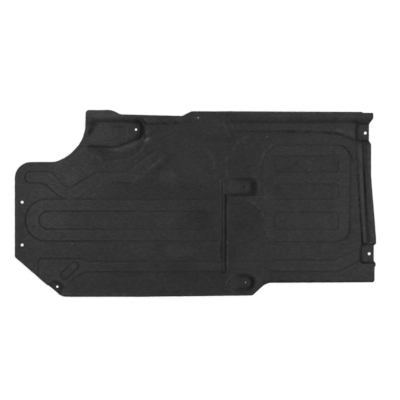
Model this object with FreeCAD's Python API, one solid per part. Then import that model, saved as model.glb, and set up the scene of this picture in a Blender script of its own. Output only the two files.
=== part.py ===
"""Engine splash shield: one sheet of needled felt, pressed hot into a ribbed panel with recessed fixing seats.

The panel lies flat with the face that looks at the road turned up. X runs along its length, Y across it from
the near edge to the far edge, and Z up. The origin is under the middle of the panel, on the plane that the
fixing seats rest on. All sizes are in millimetres.

The two faces of the sheet are made as two blocks with the same relief, the lower one set below the upper by
the thickness of the felt. Their difference is the sheet, which is then trimmed to its outline and punched.
"""
import FreeCAD, Part
import os
from math import atan2, cos, pi, radians, sin, tan

from FreeCAD import Placement, Rotation, Vector

# Overall size
PANEL_LENGTH = 1010.0
PANEL_WIDTH = 523.0
THICKNESS = 3.5

# Heights of the relief, measured from the plain field of the road face
BEAD_HEIGHT = 4.0
TERRACE_HEIGHT = 3.0
FLANGE_HEIGHT = 10.0
EDGE_STRIP_HEIGHT = 4.0
PAD_HEIGHT = 1.2
BASIN_DEPTH = 3.0
OBLONG_DEPTH = 3.0
POCKET_DEPTH = 18.0
POCKET_FLOOR_DEPTH = 14.5
TAB_DEPTH = 8.0

# Slopes of the pressed walls
BEAD_WALL_ANGLE = 52.0
SEAT_WALL_ANGLE = 66.0

# Punched holes and the dimple of a seat that isn't punched
FIXING_HOLE_DIAMETER = 8.8
SEAT_HOLE_DIAMETER = 7.0
CLIP_HOLE_DIAMETER = 3.0
DIMPLE_DIAMETER = 4.4
DIMPLE_DEPTH = 2.0

# Edges of the panel, which every feature is placed from
LEFT = -PANEL_LENGTH / 2
RIGHT = PANEL_LENGTH / 2
NEAR = -PANEL_WIDTH / 2
FAR = PANEL_WIDTH / 2

# Ring band and the double groove that it runs to
BAND_LEFT = LEFT + 29.5
BAND_WIDTH = 119.0
BAND_CENTRE = -46.5
BAND_OPENING_LEFT = LEFT + 66.0
BAND_OPENING_WIDTH = 54.6
GROOVE_X = RIGHT - 432.0
GROOVE_SPACING = 9.8
GROOVE_NEAR_END = NEAR + 67.5
BAND_RIGHT = GROOVE_X - 4.8

# Seats that carry the fasteners
MIDDLE_SEAT = (RIGHT - 367.2, 47.7)
ROUND_SEAT = (RIGHT - 364.2, NEAR + 40.4)
FAR_LEFT_SEAT = (LEFT + 338.7, FAR - 54.5)
NEAR_LEFT_SEAT = (LEFT + 118.0, NEAR + 28.2)
SEAT_RADIUS = 14.5

# Holes outside the pockets
LEFT_HOLES = ((LEFT + 20.8, 3.5), (LEFT + 20.8, -116.1))
FAR_RIGHT_HOLE = (RIGHT - 29.5, FAR - 64.5)
NEAR_RIGHT_HOLE = (RIGHT - 18.5, NEAR + 120.8)
FAR_EDGE_HOLE = (LEFT + 513.0, FAR - 21.7)

# Raised rectangle with three windows, right of the pockets
PLATEAU_LEFT = RIGHT - 322.0
PLATEAU_RIGHT = RIGHT - 68.0
PLATEAU_NEAR = NEAR + 153.0
PLATEAU_FAR = FAR - 96.7
PLATEAU_WALL_ANGLE = 42.0
LEFT_SLOPE_EXTRA = 8.0
RIGHT_SLOPE_EXTRA = 3.5
WINDOW_LEFT = RIGHT - 285.5
WINDOW_RIGHT = RIGHT - 103.0
WINDOW_MARGIN_FAR = 30.0
WINDOW_MARGIN_NEAR = 34.2
# each window's share of the height that the three of them take, from the near side
WINDOW_SHARES = ((0.0, 0.25), (0.405, 0.625), (0.765, 1.0))

# How a wall rises from its low outline to its rim: share of its run, share of its rise
ROAD_FACE_EASE = ((0.0, 0.0), (0.74, 0.9), (1.0, 1.0))
INNER_FACE_EASE = ((0.0, 0.0), (1.0, 1.0))
SMALLEST_RADIUS = 0.6
OVERLAP = 2.0
BEYOND = 40.0
BLOCK_BOTTOM = -60.0


# Outlines

def heading(start, end):
    """Direction from one corner to the next, in radians."""
    return atan2(end[1] - start[1], end[0] - start[0])


def turn_at(corners, i):
    """Signed turn of a closed outline at corner i: positive where it bulges outwards."""
    arriving = heading(corners[i - 1], corners[i])
    leaving = heading(corners[i], corners[(i + 1) % len(corners)])
    return (leaving - arriving + pi) % (2 * pi) - pi


def offset(corners, distance):
    """The same outline, counter-clockwise, moved outwards by distance, with its radii kept concentric."""
    moved = []
    for i, (x, y, radius) in enumerate(corners):
        turn = turn_at(corners, i)
        arriving = heading(corners[i - 1], corners[i])
        outward = arriving + turn / 2 - pi / 2
        reach = distance / cos(turn / 2)
        wider = radius + distance if turn > 0 else radius - distance
        moved.append((x + reach * cos(outward), y + reach * sin(outward), max(wider, SMALLEST_RADIUS)))
    return moved


def blend(start, end, share):
    """An outline part of the way from one outline to another with as many corners."""
    return [tuple(a + (b - a) * share for a, b in zip(p, q)) for p, q in zip(start, end)]


def rounds(corners):
    """Start, end, centre and turn of the arc at each corner, however slight, as points at height zero."""
    count = len(corners)
    points = [Vector(x, y, 0) for x, y, _ in corners]
    turns = [turn_at(corners, i) for i in range(count)]
    cuts = [c[2] * tan(abs(turn) / 2) for c, turn in zip(corners, turns)]
    # a radius gives way where two rounds would meet on a short side
    share = [1.0] * count
    for i in range(count):
        room = 0.98 * points[i - 1].distanceToPoint(points[i]) / (cuts[i - 1] + cuts[i])
        share[i - 1] = min(share[i - 1], room)
        share[i] = min(share[i], room)
    arcs = []
    for i, point in enumerate(points):
        cut = cuts[i] * share[i]
        arriving = heading(corners[i - 1], corners[i])
        leaving = arriving + turns[i]
        start = point - Vector(cos(arriving), sin(arriving), 0) * cut
        end = point + Vector(cos(leaving), sin(leaving), 0) * cut
        centre = start + Vector(-sin(arriving), cos(arriving), 0) * cut / tan(turns[i] / 2)
        arcs.append((start, end, centre, turns[i]))
    return arcs


def arc_edge(arc, z):
    """The arc of a rounded corner at height z."""
    start, end, centre, turn = arc
    middle = centre + Rotation(Vector(0, 0, 1), turn * 90 / pi).multVec(start - centre)
    lift = Vector(0, 0, z)
    return Part.Arc(start + lift, middle + lift, end + lift).toShape()


def rounded_wire(corners, z):
    """A closed wire at height z, with a line between each two rounded corners."""
    lift = Vector(0, 0, z)
    arcs = rounds(corners)
    edges = []
    for i, arc in enumerate(arcs):
        edges.append(Part.LineSegment(arcs[i - 1][1] + lift, arc[0] + lift).toShape())
        edges.append(arc_edge(arc, z))
    return Part.Wire(edges)


def wall_faces(low, high, z_low, z_high):
    """Faces between two outlines: planes between their lines, cones or ruled faces between their arcs."""
    down = Vector(0, 0, z_low)
    up = Vector(0, 0, z_high)
    low_arcs = rounds(low)
    high_arcs = rounds(high)
    faces = []
    for i, (a, b) in enumerate(zip(low_arcs, high_arcs)):
        last_a = low_arcs[i - 1][1]
        last_b = high_arcs[i - 1][1]
        loop = [last_a + down, a[0] + down, b[0] + up, last_b + up, last_a + down]
        parallel = (a[0] - last_a).normalize().cross((b[0] - last_b).normalize()).Length < 1e-7
        if parallel:
            faces.append(Part.Face(Part.makePolygon(loop)))
        else:
            faces.append(Part.makeRuledSurface(Part.makeLine(loop[0], loop[1]), Part.makeLine(loop[3], loop[2])))
        if a[2].distanceToPoint(b[2]) < 1e-6 and abs(a[3] - b[3]) < 1e-9:
            slant = Part.makeLine(a[0] + down, b[0] + up)
            faces.append(slant.revolve(a[2], Vector(0, 0, 1), a[3] * 180 / pi).Faces[0])
        else:
            faces.append(Part.makeRuledSurface(arc_edge(a, z_low), arc_edge(b, z_high)))
    return faces


def lofted(levels):
    """A solid through outlines with as many corners each, given with their heights from the lowest up."""
    faces = [Part.Face(rounded_wire(*levels[0])), Part.Face(rounded_wire(*levels[-1]))]
    for (low, z_low), (high, z_high) in zip(levels, levels[1:]):
        faces += wall_faces(low, high, z_low, z_high)
    shell = Part.makeShell(faces)
    shell.sewShape()
    solid = Part.Solid(shell)
    if solid.Volume < 0:
        solid.reverse()
    return solid


def rectangle(x0, y0, x1, y1, radius):
    """Corners of a rectangle with equal radii."""
    return [(x0, y0, radius), (x1, y0, radius), (x1, y1, radius), (x0, y1, radius)]


def stadium(x0, y0, x1, y1, radius):
    """Corners of a slot with full round ends, between two centres."""
    along = Vector(x1 - x0, y1 - y0, 0).normalize() * radius
    across = Vector(-along.y, along.x, 0)
    first = Vector(x0, y0, 0) - along
    last = Vector(x1, y1, 0) + along
    points = (first - across, last - across, last + across, first + across)
    return [(p.x, p.y, radius) for p in points]


# Pressed forms, each a solid that is added to a block or cut from it

def pressed(low, high, z_low, z_high, skin):
    """Levels of a wall that rises from the outline low at z_low to the outline high at z_high."""
    ease = INNER_FACE_EASE if skin else ROAD_FACE_EASE
    rise = z_high - z_low
    return [(blend(low, high, run), z_low + rise * share - skin) for run, share in ease]


def boss(foot, rim, z_foot, z_rim, skin):
    """Raised form, with a skirt that reaches into the block below its foot."""
    return lofted([(foot, z_foot - OVERLAP - skin)] + pressed(foot, rim, z_foot, z_rim, skin))


def sink(floor, rim, z_floor, z_rim, skin):
    """Sunk form, with a collar that reaches out of the block above its rim."""
    return lofted(pressed(floor, rim, z_floor, z_rim, skin) + [(rim, z_rim + OVERLAP - skin)])


def set_back(skin, wall_angle):
    """How far a wall of the inner face lies behind the wall of the road face, so that the felt keeps its thickness."""
    return skin * tan(radians(wall_angle) / 2)


def raised(foot, height, skin, base=0.0, angle=BEAD_WALL_ANGLE):
    """Raised form with the same wall all round."""
    foot = offset(foot, -set_back(skin, angle))
    rim = offset(foot, -height / tan(radians(angle)))
    return boss(foot, rim, base, base + height, skin)


def sunk(rim, depth, skin, base=0.0, angle=BEAD_WALL_ANGLE):
    """Sunk form with the same wall all round."""
    rim = offset(rim, set_back(skin, angle))
    floor = offset(rim, -depth / tan(radians(angle)))
    return sink(floor, rim, base - depth, base, skin)


def sloped(foot, rim, z_foot, z_rim, skin, angle):
    """Raised form whose walls lie between two outlines, steep on one side and gentle on another."""
    back = set_back(skin, angle)
    return boss(offset(foot, -back), offset(rim, -back), z_foot, z_rim, skin)


def hollow(floor, rim, z_floor, z_rim, skin, angle):
    """Sunk form whose walls lie between two outlines."""
    back = set_back(skin, angle)
    return sink(offset(floor, back), offset(rim, back), z_floor, z_rim, skin)


# The outline that the pressed sheet is trimmed to

def panel_outline():
    """Corners of the panel, counter-clockwise from the near left one."""
    near_edge = [
        (LEFT, NEAR + 111.5, 8),
        (LEFT + 88, NEAR + 35.4, 60),
        (LEFT + 131.5, NEAR, 42),
        (LEFT + 355, NEAR, 300),
        (RIGHT - 345, NEAR + 3.8, 14),
        (RIGHT - 307.3, NEAR + 39, 39),
    ]
    right_edge = [
        (RIGHT - 3.8, NEAR + 40.8, 8),
        (RIGHT - 3.8, NEAR + 84, 3),
        (RIGHT - 1, NEAR + 87, 2.5),
        (RIGHT - 1, NEAR + 95.5, 2.5),
        (RIGHT - 5.5, NEAR + 101, 3),
        (RIGHT - 5.5, NEAR + 143.5, 3),
        (RIGHT, NEAR + 149.5, 4),
        (RIGHT, NEAR + 163.5, 60),
        (RIGHT - 13.9, FAR - 183.5, 300),
        (RIGHT - 13.9, FAR - 96, 4),
        (RIGHT - 18.9, FAR - 87, 4),
        (RIGHT - 18.9, FAR - 40.5, 4),
        (RIGHT - 8.3, FAR - 24, 5),
        (RIGHT - 8.3, FAR - 8.2, 4),
    ]
    far_edge = [
        (RIGHT - 37.5, FAR - 8, 3),
        (RIGHT - 41, FAR - 5.6, 3),
        (LEFT + 494, FAR - 3.2, 11),
        (LEFT + 467.5, FAR - 16.6, 11),
        (LEFT + 296.5, FAR - 12.2, 28),
        (LEFT + 271.5, FAR, 33),
        (LEFT + 198.5, FAR, 10),
    ]
    wheel_arch = [
        (LEFT + 196.2, FAR - 55.3, 60),
        (LEFT + 176.8, FAR - 119.1, 118),
        (LEFT + 113.3, FAR - 145, 55),
        (LEFT, FAR - 145.2, 46),
    ]
    return near_edge + right_edge + far_edge + wheel_arch


# Relief of the left side

def snake_bead(skin):
    """Bead that dips round the wheel arch, runs along the panel and dies away on a slant."""
    foot = [
        (LEFT + 28, FAR - 205.4, 17),
        (LEFT + 81.5, FAR - 205.4, 25),
        (LEFT + 147.5, FAR - 264.5, 56),
        (LEFT + 242, FAR - 204.8, 34),
        (LEFT + 331.7, FAR - 204.8, 20),
        (LEFT + 423, FAR - 131.4, 9),
        (LEFT + 396, FAR - 104.1, 9),
        (LEFT + 310.7, FAR - 172.3, 20),
        (LEFT + 229, FAR - 172.3, 34),
        (LEFT + 146.5, FAR - 222.2, 24),
        (LEFT + 104, FAR - 171.2, 25),
        (LEFT + 28, FAR - 170.9, 17),
    ]
    rim = offset(foot, -BEAD_HEIGHT / tan(radians(BEAD_WALL_ANGLE)))
    die_away = 22.0
    slant = radians(39)
    for i in (5, 6):
        x, y, radius = rim[i]
        rim[i] = (x - die_away * cos(slant), y - die_away * sin(slant), radius)
    return sloped(foot, rim, 0, BEAD_HEIGHT, skin, BEAD_WALL_ANGLE)


def ring_band(skin):
    """Wide band with round left ends."""
    half = BAND_WIDTH / 2
    foot = [
        (BAND_LEFT, BAND_CENTRE - half, half),
        (BAND_RIGHT, BAND_CENTRE - half, 5),
        (BAND_RIGHT, BAND_CENTRE + half, 5),
        (BAND_LEFT, BAND_CENTRE + half, half),
    ]
    return raised(foot, BEAD_HEIGHT, skin)


def ring_band_opening(skin):
    """Long opening inside the ring band, down to the field, with a ramp at its right end."""
    half = BAND_OPENING_WIDTH / 2
    rim = [
        (BAND_OPENING_LEFT, BAND_CENTRE - half, half),
        (BAND_RIGHT - 15.4, BAND_CENTRE - half, 20),
        (BAND_RIGHT - 15.4, BAND_CENTRE + half, 20),
        (BAND_OPENING_LEFT, BAND_CENTRE + half, half),
    ]
    floor = offset(rim, -BEAD_HEIGHT / tan(radians(BEAD_WALL_ANGLE)))
    ramp = 26.0
    for i in (1, 2):
        x, y, radius = floor[i]
        floor[i] = (x - ramp, y, radius)
    return hollow(floor, rim, 0, BEAD_HEIGHT, skin, BEAD_WALL_ANGLE)


def near_bead(skin):
    """Wide bead along the near edge, spreading to the corner seat on the left."""
    foot = [
        (LEFT + 65, NEAR - 1, 2),
        (LEFT + 104, NEAR - 1, 2),
        (LEFT + 188, NEAR + 69.6, 80),
        (BAND_RIGHT - 1, NEAR + 69.6, 5),
        (BAND_RIGHT - 1, NEAR + 101.2, 5),
        (LEFT + 205.7, NEAR + 101.2, 12),
        (LEFT + 193.1, NEAR + 109, 12),
        (LEFT + 65, NEAR + 109, 11),
    ]
    return raised(foot, BEAD_HEIGHT, skin)


def oblong_recess(skin):
    """Plain oblong recess in the spread end of the near bead."""
    rim = stadium(LEFT + 139, NEAR + 61, LEFT + 167.3, NEAR + 87.6, 12.8)
    return sunk(rim, OBLONG_DEPTH, skin, base=BEAD_HEIGHT)


def basin(skin):
    """Shallow basin between the wheel arch and the far left pocket."""
    rim = [
        (LEFT + 165, FAR - 76.5, 2),
        (LEFT + 233, FAR - 144, 50),
        (LEFT + 318, FAR - 144, 40),
        (LEFT + 358, FAR - 111, 36),
        (LEFT + 370, FAR - 82, 30),
        (LEFT + 370, FAR - 30, 10),
        (LEFT + 165, FAR - 30, 2),
    ]
    return sunk(rim, BASIN_DEPTH, skin, angle=20.0)


def far_left_pocket(skin):
    """Pocket open at the wheel arch, whose floor steps down to a round-ended seat."""
    x, y = FAR_LEFT_SEAT
    rim = [
        (LEFT + 160, FAR - 103.5, 2),
        (LEFT + 280, FAR - 108.5, 50),
        (x + 28.5, FAR - 81.5, 32),
        (x + 28.5, FAR - 24.5, 27),
        (LEFT + 207, FAR - 24.5, 6),
        (LEFT + 198, FAR - 68.5, 3),
        (LEFT + 160, FAR - 68.5, 2),
    ]
    floor = [
        (LEFT + 160, FAR - 98, 2),
        (LEFT + 282, FAR - 101.5, 45),
        (x + 10.5, FAR - 74, 16),
        (x + 10.5, FAR - 34.5, 14),
        (LEFT + 234, FAR - 34.5, 8),
        (LEFT + 206, FAR - 73.5, 3),
        (LEFT + 160, FAR - 73.5, 2),
    ]
    return hollow(floor, rim, -POCKET_FLOOR_DEPTH, 0, skin, 50.0)


def far_left_seat(skin):
    """Seat at the right end of the far left pocket."""
    x, y = FAR_LEFT_SEAT
    floor = [
        (x - 20, FAR - 81, 3),
        (x + 6, FAR - 70, 14),
        (x + 6, FAR - 37.5, 13),
        (x - 20, FAR - 37.5, 3),
    ]
    rim = offset(floor, POCKET_DEPTH - POCKET_FLOOR_DEPTH)
    return hollow(floor, rim, -POCKET_DEPTH, -POCKET_FLOOR_DEPTH, skin, 45.0)


def far_left_strip(skin):
    """Raised strip along the far edge, over the pocket and on to the slanted step of the outline."""
    foot = [
        (LEFT + 150, FAR - 25, 2),
        (LEFT + 352, FAR - 25, 8),
        (LEFT + 366, FAR - 40.8, 8),
        (LEFT + 462, FAR - 40.8, 18),
        (LEFT + 486, FAR + BEYOND, 2),
        (LEFT + 150, FAR + BEYOND, 2),
    ]
    return raised(foot, EDGE_STRIP_HEIGHT, skin, angle=36.0)


def near_left_seat(skin):
    """Seat in the near left corner, open at the panel's edge."""
    x, y = NEAR_LEFT_SEAT
    rim = [
        (x - 6.5, y - 52.7, 2),
        (x + 27.5, y + 2.2, 7),
        (x + 7.9, y + 17.6, 12),
        (x - 10.3, y + 20.9, 8),
        (x - 47.6, y - 5.2, 2),
    ]
    floor = [
        (x - 21.1, y - 51.9, 2),
        (x + 11.5, y + 0.8, 4),
        (x + 6.5, y + 9.8, 6),
        (x - 7.5, y + 12, 5),
        (x - 44.4, y - 13.8, 2),
    ]
    return hollow(floor, rim, -POCKET_DEPTH, BEAD_HEIGHT, skin, SEAT_WALL_ANGLE)


# Relief of the middle

def shallow_pad(skin):
    """Faint raised pad between the snake bead and the grooves."""
    foot = [
        (LEFT + 397, 50, 22),
        (LEFT + 505, 50, 14),
        (LEFT + 505, 99, 14),
        (LEFT + 397, 99, 22),
    ]
    rim = [
        (LEFT + 417, 68, 8),
        (LEFT + 446, 68, 6),
        (LEFT + 446, 81, 6),
        (LEFT + 417, 81, 8),
    ]
    return sloped(foot, rim, 0, PAD_HEIGHT, skin, 4.0)


def grooves(skin):
    """Double groove across the panel: a shallow one on the left and a deeper one on the right."""
    left = rectangle(GROOVE_X - 2.6, GROOVE_NEAR_END, GROOVE_X + 2.6, 66, 2.4)
    right_x = GROOVE_X + GROOVE_SPACING
    right = rectangle(right_x - 4.4, GROOVE_NEAR_END, right_x + 4.4, 26, 4.2)
    return [
        sunk(left, 1.7, skin, angle=50.0),
        sunk(right, 5.0, skin, angle=60.0),
    ]


def middle_pocket(skin):
    """Pocket with a steep end and a ramp that rises to the grooves."""
    x, y = MIDDLE_SEAT
    rim = [
        (x - 54, y - 29.6, 5),
        (x + 37.5, y - 29.6, 11),
        (x + 37.5, y + 26.8, 11),
        (x - 42, y + 26.8, 5),
    ]
    floor = [
        (x - 19, y - 19.5, 3),
        (x + 17, y - 19.5, 15),
        (x + 17, y + 16.5, 15),
        (x - 19, y + 16.5, 3),
    ]
    return hollow(floor, rim, -POCKET_DEPTH, 0, skin, 50.0)


def round_pocket(skin):
    """Pocket with a round end over its seat and a ramp behind it."""
    x, y = ROUND_SEAT
    rim = stadium(x - 31, y, x, y, 26)
    floor = stadium(x - 6, y, x, y, SEAT_RADIUS)
    return hollow(floor, rim, -POCKET_DEPTH, 0, skin, 50.0)


# Relief of the right side

def plateau(skin):
    """Raised rectangle with a spur under the middle pocket, steepest along its far and near sides."""
    pocket_near = MIDDLE_SEAT[1] - 29.6
    foot = [
        (PLATEAU_LEFT + 2, PLATEAU_NEAR, 50),
        (PLATEAU_RIGHT - 4, PLATEAU_NEAR, 40),
        (PLATEAU_RIGHT + 1, PLATEAU_FAR, 42),
        (PLATEAU_LEFT, PLATEAU_FAR, 58),
        (PLATEAU_LEFT, pocket_near + 6, 3),
        (PLATEAU_LEFT - 50, pocket_near + 6, 3),
        (PLATEAU_LEFT - 50, pocket_near - 7, 4),
        (PLATEAU_LEFT + 2, pocket_near - 42, 30),
    ]
    rim = offset(foot, -BEAD_HEIGHT / tan(radians(PLATEAU_WALL_ANGLE)))
    for corners, shift in (((0, 3, 4, 7), LEFT_SLOPE_EXTRA), ((1, 2), -RIGHT_SLOPE_EXTRA)):
        for i in corners:
            x, y, radius = rim[i]
            rim[i] = (x + shift, y, radius)
    return sloped(foot, rim, 0, BEAD_HEIGHT, skin, PLATEAU_WALL_ANGLE)


def windows(skin):
    """Sunk windows of the raised rectangle, spread over its width."""
    near = PLATEAU_NEAR + WINDOW_MARGIN_NEAR
    height = PLATEAU_FAR - WINDOW_MARGIN_FAR - near
    cuts = []
    for bottom, top in WINDOW_SHARES:
        rim = rectangle(WINDOW_LEFT, near + bottom * height, WINDOW_RIGHT, near + top * height, 10)
        cuts.append(sunk(rim, BEAD_HEIGHT, skin, base=BEAD_HEIGHT))
    return cuts


def near_right_bead(skin):
    """Bead along the near edge that rises slowly from the left and turns up to the corner tab."""
    foot = [
        (RIGHT - 313, NEAR + 70.4, 16.8),
        (RIGHT - 105.7, NEAR + 70.4, 22),
        (RIGHT - 43, NEAR + 101.5, 3),
        (RIGHT - 43, NEAR + 138.2, 3),
        (RIGHT - 119.7, NEAR + 104.3, 22),
        (RIGHT - 313, NEAR + 104.3, 16.8),
    ]
    rim = offset(foot, -BEAD_HEIGHT / tan(radians(BEAD_WALL_ANGLE)))
    rise = 22.0
    for i in (0, 5):
        x, y, radius = rim[i]
        rim[i] = (x + rise, y, radius)
    return sloped(foot, rim, 0, BEAD_HEIGHT, skin, BEAD_WALL_ANGLE)


def far_terrace(skin):
    """Low terrace below the far flange, dropping towards the corner tab and dying away on the left."""
    foot = [
        (RIGHT - 440, FAR - 63, 20),
        (RIGHT - 112, FAR - 65, 60),
        (RIGHT - 52, FAR - 91, 6),
        (RIGHT + BEYOND, FAR - 95, 2),
        (RIGHT + BEYOND, FAR + BEYOND, 2),
        (RIGHT - 455, FAR + BEYOND, 2),
    ]
    rim = [
        (RIGHT - 392, FAR - 57.5, 20),
        (RIGHT - 112, FAR - 59.5, 60),
        (RIGHT - 52, FAR - 85, 6),
        (RIGHT + BEYOND, FAR - 89, 2),
        (RIGHT + BEYOND, FAR + BEYOND, 2),
        (RIGHT - 407, FAR + BEYOND, 2),
    ]
    return sloped(foot, rim, 0, TERRACE_HEIGHT, skin, 30.0)


def far_flange(skin):
    """High flange along the far edge, which stands on the terrace and dies away on the left."""
    foot = [
        (RIGHT - 438, FAR - 43, 14),
        (RIGHT + BEYOND, FAR - 43, 2),
        (RIGHT + BEYOND, FAR + BEYOND, 2),
        (RIGHT - 444, FAR + BEYOND, 2),
    ]
    rim = [
        (RIGHT - 402, FAR - 22.5, 12),
        (RIGHT + BEYOND, FAR - 22.5, 2),
        (RIGHT + BEYOND, FAR + BEYOND, 2),
        (RIGHT - 408, FAR + BEYOND, 2),
    ]
    return sloped(foot, rim, 0, FLANGE_HEIGHT, skin, 30.0)


def edge_roll(skin):
    """Right edge between the two tabs: a ridge, a valley and a lip that rolls up to the cut edge."""
    section = [
        (0, -24, 1),
        (70, -24, 1),
        (70, 7.6, 1),
        (35, 6.6, 22),
        (20.5, -4.6, 5),
        (12.5, 4.2, 4),
        (4.2, 4.2, 3),
        (0, -0.3, 1),
    ]
    profile = rounded_wire(section, 0)
    profile.rotate(Vector(0, 0, 0), Vector(1, 0, 0), 90)
    near_end = Vector(RIGHT - 39.9, NEAR + 139, -skin)
    far_end = Vector(RIGHT - 53.7, FAR - 86, -skin)
    along = far_end - near_end
    solid = Part.Face(profile).extrude(Vector(0, along.Length + 2 * BEYOND, 0))
    solid.translate(Vector(0, -BEYOND, 0))
    slant = atan2(along.y, along.x) * 180 / pi - 90
    solid.Placement = Placement(near_end, Rotation(Vector(0, 0, 1), slant)) * solid.Placement
    return solid.common(edge_roll_space(skin))


def edge_roll_space(skin):
    """Room that the edge roll takes: everything between the tabs, outside the foot of its ridge."""
    foot = [
        (RIGHT - 39.9, NEAR + 139),
        (RIGHT + BEYOND, NEAR + 139),
        (RIGHT + BEYOND, FAR - 86),
        (RIGHT - 53.7, FAR - 86),
    ]
    loop = Part.makePolygon([Vector(x, y, -22 - skin) for x, y in foot + foot[:1]])
    return Part.Face(loop).extrude(Vector(0, 0, 60))


def corner_tabs(skin):
    """Sunk tabs at both ends of the right edge, each with a fixing hole."""
    x, y = FAR_RIGHT_HOLE
    far_rim = rectangle(x - 31.5, y - 30, RIGHT + BEYOND, y + 33, 13)
    far_floor = rectangle(x - 20.5, y - 20, RIGHT + BEYOND, y + 23, 11)
    x, y = NEAR_RIGHT_HOLE
    near_rim = rectangle(x - 29, y - 31, RIGHT + BEYOND, y + 31, 8)
    near_floor = rectangle(x - 21.5, y - 23, RIGHT + BEYOND, y + 24.5, 6)
    return [
        hollow(far_floor, far_rim, -TAB_DEPTH, TERRACE_HEIGHT, skin, 45.0),
        hollow(near_floor, near_rim, -TAB_DEPTH, BEAD_HEIGHT, skin, 45.0),
    ]


# Faces, sheet and holes

def pressed_block(skin):
    """A deep block whose top is one face of the sheet, at the given distance below the road face."""
    size = Vector(PANEL_LENGTH + 2 * BEYOND, PANEL_WIDTH + 2 * BEYOND, -BLOCK_BOTTOM - skin)
    corner = Vector(LEFT - BEYOND, NEAR - BEYOND, BLOCK_BOTTOM)
    block = Part.makeBox(size.x, size.y, size.z, corner)
    block = block.fuse([far_left_strip(skin), far_terrace(skin)])
    block = block.fuse(far_flange(skin))
    beads = [snake_bead(skin), ring_band(skin), near_bead(skin), plateau(skin), near_right_bead(skin)]
    block = block.fuse(beads)
    block = block.cut([ring_band_opening(skin)] + windows(skin))
    block = block.cut(oblong_recess(skin))
    if not skin:
        # a form too shallow to press through to the inner face
        block = block.fuse(shallow_pad(skin))
    block = block.cut(edge_roll_space(skin)).fuse(edge_roll(skin))
    block = block.cut(grooves(skin) + [basin(skin)])
    block = block.cut([far_left_pocket(skin), middle_pocket(skin), round_pocket(skin), near_left_seat(skin)])
    block = block.cut([far_left_seat(skin)] + corner_tabs(skin))
    return block.removeSplitter()


def punches():
    """Cylinders for the punched holes, and the blind dimple of the middle seat."""
    below = -POCKET_DEPTH - 2 * THICKNESS
    height = POCKET_DEPTH + FLANGE_HEIGHT + 4 * THICKNESS
    punched = (
        (FIXING_HOLE_DIAMETER, LEFT_HOLES + (FAR_RIGHT_HOLE, NEAR_RIGHT_HOLE)),
        (SEAT_HOLE_DIAMETER, (FAR_LEFT_SEAT, NEAR_LEFT_SEAT)),
        (CLIP_HOLE_DIAMETER, (FAR_EDGE_HOLE, ROUND_SEAT)),
    )
    tools = []
    for diameter, places in punched:
        tools += [Part.makeCylinder(diameter / 2, height, Vector(x, y, below)) for x, y in places]
    x, y = MIDDLE_SEAT
    dimple = Vector(x, y, -POCKET_DEPTH - DIMPLE_DEPTH)
    tools.append(Part.makeCylinder(DIMPLE_DIAMETER / 2, POCKET_DEPTH, dimple))
    return tools


def shield_panel():
    """The trimmed and punched sheet, standing on its seats."""
    sheet = pressed_block(0.0).cut(pressed_block(THICKNESS))
    trim = Part.Face(rounded_wire(panel_outline(), BLOCK_BOTTOM)).extrude(Vector(0, 0, 2 * -BLOCK_BOTTOM))
    sheet = sheet.common(trim)
    sheet = sheet.cut(punches())
    sheet.translate(Vector(0, 0, POCKET_DEPTH + THICKNESS))
    return sheet


os.makedirs("parts", exist_ok=True)
panel = shield_panel()
print("solids", len(panel.Solids), "faces", len(panel.Faces), "valid", panel.isValid())
print("volume", round(panel.Volume / 1000.0, 1), "cm3", panel.optimalBoundingBox())
panel.exportStep("parts/shield_panel.step")
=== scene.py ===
"""Looks of a splash shield pressed from needled felt, built round its CAD frame.

The frame's one node is made again as a soft sheet with rounded creases and a crushed cut edge, and gets
its felt, painted highlights on its rims, painted shade in its creases, marks that are partly painted light
and partly rubbed felt, and its loose fibres.
"""
import math

import bpy
import numpy as np
from bpy.types import NodeSocket, Operator, Panel, PropertyGroup
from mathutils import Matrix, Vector, geometry, kdtree, noise
from mathutils.bvhtree import BVHTree


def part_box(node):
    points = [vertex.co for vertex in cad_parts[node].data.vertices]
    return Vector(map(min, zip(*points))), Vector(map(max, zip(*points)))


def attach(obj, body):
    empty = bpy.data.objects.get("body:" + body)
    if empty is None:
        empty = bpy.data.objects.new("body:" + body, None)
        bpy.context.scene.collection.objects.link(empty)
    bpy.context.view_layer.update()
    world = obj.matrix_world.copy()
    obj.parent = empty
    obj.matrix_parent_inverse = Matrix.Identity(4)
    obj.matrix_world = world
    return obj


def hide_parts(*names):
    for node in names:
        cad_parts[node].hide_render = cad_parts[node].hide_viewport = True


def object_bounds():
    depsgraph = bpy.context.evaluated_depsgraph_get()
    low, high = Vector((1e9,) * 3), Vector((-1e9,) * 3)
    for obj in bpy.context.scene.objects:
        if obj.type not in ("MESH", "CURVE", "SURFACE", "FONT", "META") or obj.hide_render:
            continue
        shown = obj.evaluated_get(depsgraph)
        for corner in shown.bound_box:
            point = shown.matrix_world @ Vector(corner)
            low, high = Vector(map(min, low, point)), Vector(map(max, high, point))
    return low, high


bl_info = {
    "name": "Felt splash shield",
    "version": (1, 0, 0),
    "blender": (4, 5, 0),
    "location": "View3D > Sidebar > Shield",
    "description": "Builds the pressed felt splash shield round its CAD frame",
    "category": "Object",
}

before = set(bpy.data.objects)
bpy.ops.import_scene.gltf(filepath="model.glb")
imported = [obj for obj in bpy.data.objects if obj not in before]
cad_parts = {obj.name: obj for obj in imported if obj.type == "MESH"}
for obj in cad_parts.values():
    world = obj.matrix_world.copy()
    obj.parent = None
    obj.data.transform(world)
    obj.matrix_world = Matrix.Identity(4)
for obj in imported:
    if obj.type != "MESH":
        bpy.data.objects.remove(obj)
CAD_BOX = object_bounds()
NODE = "shield_panel"
BODY = "root"

MILLIMETRE = 0.001
SIN_60 = math.sqrt(0.75)
DOWN = Vector((0, 0, -1))

# Grid of heights: step and margin, where rays start, least share of felt under a blur
GRID_STEP = 0.00125
GRID_MARGIN = 0.06
ABOVE = 0.2
LEAST_COVER = 0.02

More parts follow.
